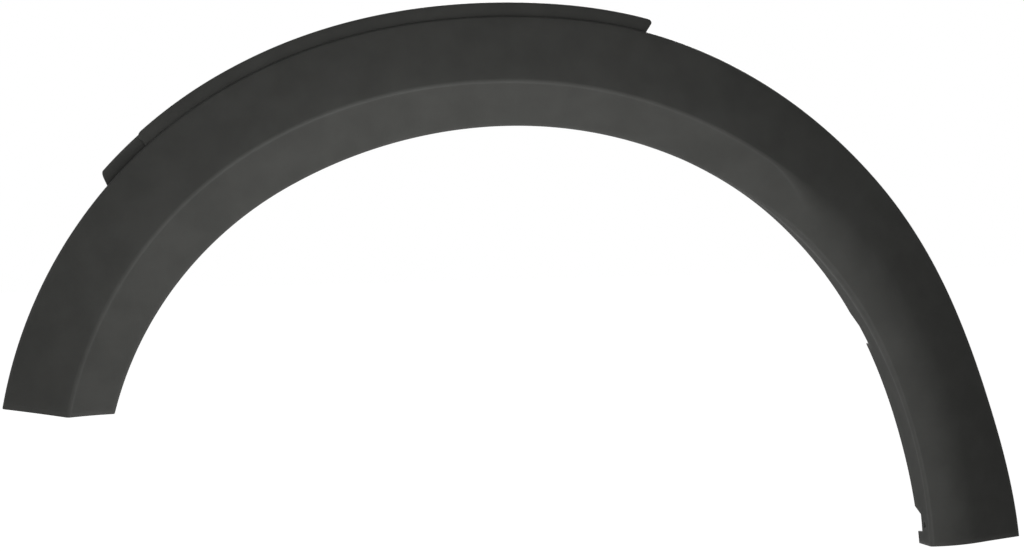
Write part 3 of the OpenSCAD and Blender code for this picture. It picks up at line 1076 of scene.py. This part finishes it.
@dataclass
class Moulding:
    """The whole trim: the shell, with all that is moulded to it."""

    form: TrimForm = field(default_factory=TrimForm)
    finish: GrainedPlastic = field(default_factory=GrainedPlastic)
    slot: str = "black_plastic"
    front_towers: int = 5
    front_tower_from_end: float = 32.0
    rear_towers: int = 6
    rear_tower_from_end: float = 36.0
    pin_towers: tuple[int, ...] = (0, -4, 5)
    lip_y: float = 26.1
    low_lip_step: float = 2.4
    lip_w: float = 11.5
    low_lip_w: float = 10.0
    lip_rear_s: float = 101.0
    lip_front_s: float = 272.0
    low_lip_front_s: float = 309.0
    lip_slant: float = 0.35
    lip_overlap: float = 8.0
    smooth_below: float = 32.0

    def tower_s(self, i: int) -> float:
        """Where a fixing tower is.

        Args:
            i: The tower's number, counted from the crown and below 0 on the front leg.

        Returns:
            Its station.
        """
        edge = self.form.edge
        if i < 0:
            return i * (edge.front_len - self.front_tower_from_end) / self.front_towers
        return i * (edge.rear_len - self.rear_tower_from_end) / self.rear_towers

    def lips(self) -> list[TopLip]:
        """Lays out the top lip's two levels.

        Returns:
            The long upper lip, and the short lower one under its front end.
        """
        low_end = self.lip_overlap - self.lip_front_s
        low_y = self.lip_y + self.low_lip_step
        return [
            TopLip(
                self.form, -self.lip_front_s, self.lip_rear_s, self.lip_y, self.lip_w,
                end_slant=self.lip_slant,
            ),
            TopLip(
                self.form, -self.low_lip_front_s, low_end, low_y, self.low_lip_w,
                start_slant=self.lip_slant,
            ),
        ]

    def towers(self) -> list[FixingTower]:
        """Lays out the fixing towers.

        Returns:
            The towers, from the front foot to the rear one.
        """
        made = []
        for i in range(-self.front_towers, self.rear_towers + 1):
            pinned = i in self.pin_towers
            head = TowerHead.LOCATING_PIN if pinned else TowerHead.CLIP_SLOT
            made.append(FixingTower(self.form, self.tower_s(i), head))
        return made

    def build(self) -> bpy.types.Object:
        """Makes the moulding as one fused mesh, dressed and riding on its body.

        Returns:
            The trim's object.
        """
        towers = self.towers()
        ribs = [(a.s + b.s) / 2 for a, b in zip(towers, towers[1:])]
        shell = FaceShell(self.form).build()
        log.info("face shell: %d faces", len(shell.faces))
        trim = as_object("wheel_arch_trim", shell)
        fuse(trim, [lip.build() for lip in self.lips()])
        log.info("fused on: the two lips")
        fuse(trim, CrossPlates(self.form).build(ribs) + [tower.build() for tower in towers])
        log.info("fused on: two end walls, %d ribs and %d towers", len(ribs), len(towers))
        pins = [tower.pin() for tower in towers if tower.head is TowerHead.LOCATING_PIN]
        fuse(trim, pins)
        log.info("fused on: %d locating pins", len(pins))
        mesh = trim.data
        self.finish.polish.mark(mesh)
        mesh.shade_smooth()
        mesh.set_sharp_from_angle(angle=math.radians(self.smooth_below))
        mesh.materials.clear()
        mesh.materials.append(self.finish.material())
        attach(trim, BODY)
        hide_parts(NODE)
        log.info("wheel arch trim: %d faces", len(mesh.polygons))
        return trim


@dataclass(frozen=True)
class SoftBox:
    """A square area light that the camera doesn't see."""

    name: str
    place: tuple[float, float, float]
    size: float
    power: float
    aim: tuple[float, float, float] = (0.0, 0.0, -0.2)

    def build(self) -> bpy.types.Object:
        """Hangs the lamp and turns it to its aim.

        Returns:
            The lamp's object.
        """
        lamp = bpy.data.lights.new(self.name, "AREA")
        lamp.shape = "SQUARE"
        lamp.size = self.size
        lamp.energy = self.power
        made = bpy.data.objects.new(self.name, lamp)
        made.location = self.place
        towards = Vector(self.aim) - Vector(self.place)
        made.rotation_euler = towards.to_track_quat("-Z", "Y").to_euler()
        made.visible_camera = False
        bpy.context.scene.collection.objects.link(made)
        return made


@dataclass
class Studio:
    """The camera, the lamps, the pale floor and the white backdrop."""

    azimuth: float = -12.0
    elevation: float = 7.0
    distance: float = 2.8
    pixel_size: float = 0.88 * MM
    pixels_across: int = 1024
    target: tuple[float, float, float] = (-0.0002, -0.026, -0.2038)
    sensor: float = 36.0
    floor_gap: float = 0.5
    floor_half: float = 6.0
    floor_colour: tuple[float, float, float, float] = (0.8, 0.8, 0.8, 1.0)
    floor_roughness: float = 0.9
    floor_glow: tuple[float, float] = (0.7, 1.0)
    glow_reach: tuple[float, float] = (1.3, 2.0)
    ambient: float = 0.05
    lamps: tuple[SoftBox, ...] = (
        SoftBox("low_front", (0.0, -0.7, -0.8), 0.3, 3.3),
        SoftBox("near_front", (0.0, -0.45, -0.25), 0.5, 2.2),
        SoftBox("near_left", (-0.2, -0.45, -0.25), 0.4, 0.95),
        SoftBox("left", (-1.2, -0.3, 0.0), 0.6, 3.0),
        SoftBox("behind", (0.35, 0.9, 0.3), 0.6, 15.0),
    )

    def camera(self) -> None:
        """Sets the camera up at the photograph's angle."""
        a, e = math.radians(self.azimuth), math.radians(self.elevation)
        back = Vector((math.sin(a) * math.cos(e), -math.cos(a) * math.cos(e), math.sin(e)))
        data = bpy.data.cameras.new("camera")
        data.sensor_width = self.sensor
        data.lens = self.sensor * self.distance / (self.pixel_size * self.pixels_across)
        made = bpy.data.objects.new("camera", data)
        made.location = Vector(self.target) + back * self.distance
        made.rotation_euler = (-back).to_track_quat("-Z", "Y").to_euler()
        bpy.context.scene.collection.objects.link(made)
        bpy.context.scene.camera = made

    def floor(self) -> None:
        """Lays the floor some way under the trim: pale there, and white further out."""
        bm = bmesh.new()
        bmesh.ops.create_grid(bm, x_segments=1, y_segments=1, size=self.floor_half)
        level = CAD_BOX[0].z - self.floor_gap
        bmesh.ops.translate(bm, verts=bm.verts[:], vec=(0, 0, level))
        made = as_object("floor", bm)
        material = bpy.data.materials.new("pale_floor")
        material.use_nodes = True
        nodes, links = material.node_tree.nodes, material.node_tree.links
        shader = nodes["Principled BSDF"]
        shader.inputs["Base Color"].default_value = self.floor_colour
        shader.inputs["Roughness"].default_value = self.floor_roughness
        shader.inputs["Specular IOR Level"].default_value = 0.0
        shader.inputs["Emission Color"].default_value = WHITE
        place = nodes.new("ShaderNodeTexCoord")
        away = nodes.new("ShaderNodeVectorMath")
        away.operation = "LENGTH"
        links.new(place.outputs["Object"], away.inputs[0])
        glow = nodes.new("ShaderNodeMapRange")
        glow.interpolation_type = "SMOOTHSTEP"
        limits = ("From Min", "From Max", "To Min", "To Max")
        for limit, value in zip(limits, self.glow_reach + self.floor_glow):
            glow.inputs[limit].default_value = value
        links.new(away.outputs["Value"], glow.inputs["Value"])
        strength = nodes.new("ShaderNodeMath")
        strength.operation = "MULTIPLY"
        links.new(self._seen(nodes, links, 0.0), strength.inputs[0])
        links.new(glow.outputs["Result"], strength.inputs[1])
        links.new(strength.outputs["Value"], shader.inputs["Emission Strength"])
        made.data.materials.append(material)

    @staticmethod
    def _seen(
        nodes: bpy.types.Nodes, links: bpy.types.NodeLinks, unseen: float
    ) -> bpy.types.NodeSocket:
        """A strength of 1 where the camera, gloss or glass sees the surface, and less elsewhere.

        Args:
            nodes: The node tree's nodes.
            links: The node tree's links.
            unseen: Strength on the rays that light the trim.

        Returns:
            The socket that carries the strength.
        """
        path = nodes.new("ShaderNodeLightPath")
        both = nodes.new("ShaderNodeMath")
        both.operation = "MAXIMUM"
        links.new(path.outputs["Is Camera Ray"], both.inputs[0])
        links.new(path.outputs["Is Glossy Ray"], both.inputs[1])
        every = nodes.new("ShaderNodeMath")
        every.operation = "MAXIMUM"
        links.new(both.outputs[0], every.inputs[0])
        links.new(path.outputs["Is Transmission Ray"], every.inputs[1])
        strength = nodes.new("ShaderNodeMapRange")
        strength.inputs["To Min"].default_value = unseen
        links.new(every.outputs[0], strength.inputs["Value"])
        return strength.outputs["Result"]

    def backdrop(self) -> None:
        """Makes the world a white backdrop that lights the trim only gently."""
        world = bpy.data.worlds.new("studio")
        world.use_nodes = True
        nodes, links = world.node_tree.nodes, world.node_tree.links
        background = nodes["Background"]
        background.inputs["Color"].default_value = WHITE
        links.new(self._seen(nodes, links, self.ambient), background.inputs["Strength"])
        bpy.context.scene.world = world

    def build(self) -> None:
        """Sets up the whole studio."""
        bpy.context.scene.view_settings.view_transform = "Standard"
        self.camera()
        self.backdrop()
        self.floor()
        for lamp in self.lamps:
            lamp.build()


def main() -> None:
    """Builds the studio and the trim."""
    logging.basicConfig(level=logging.INFO, format="%(name)s: %(message)s")
    Studio().build()
    Moulding().build()


if __name__ == "__main__":
    main()
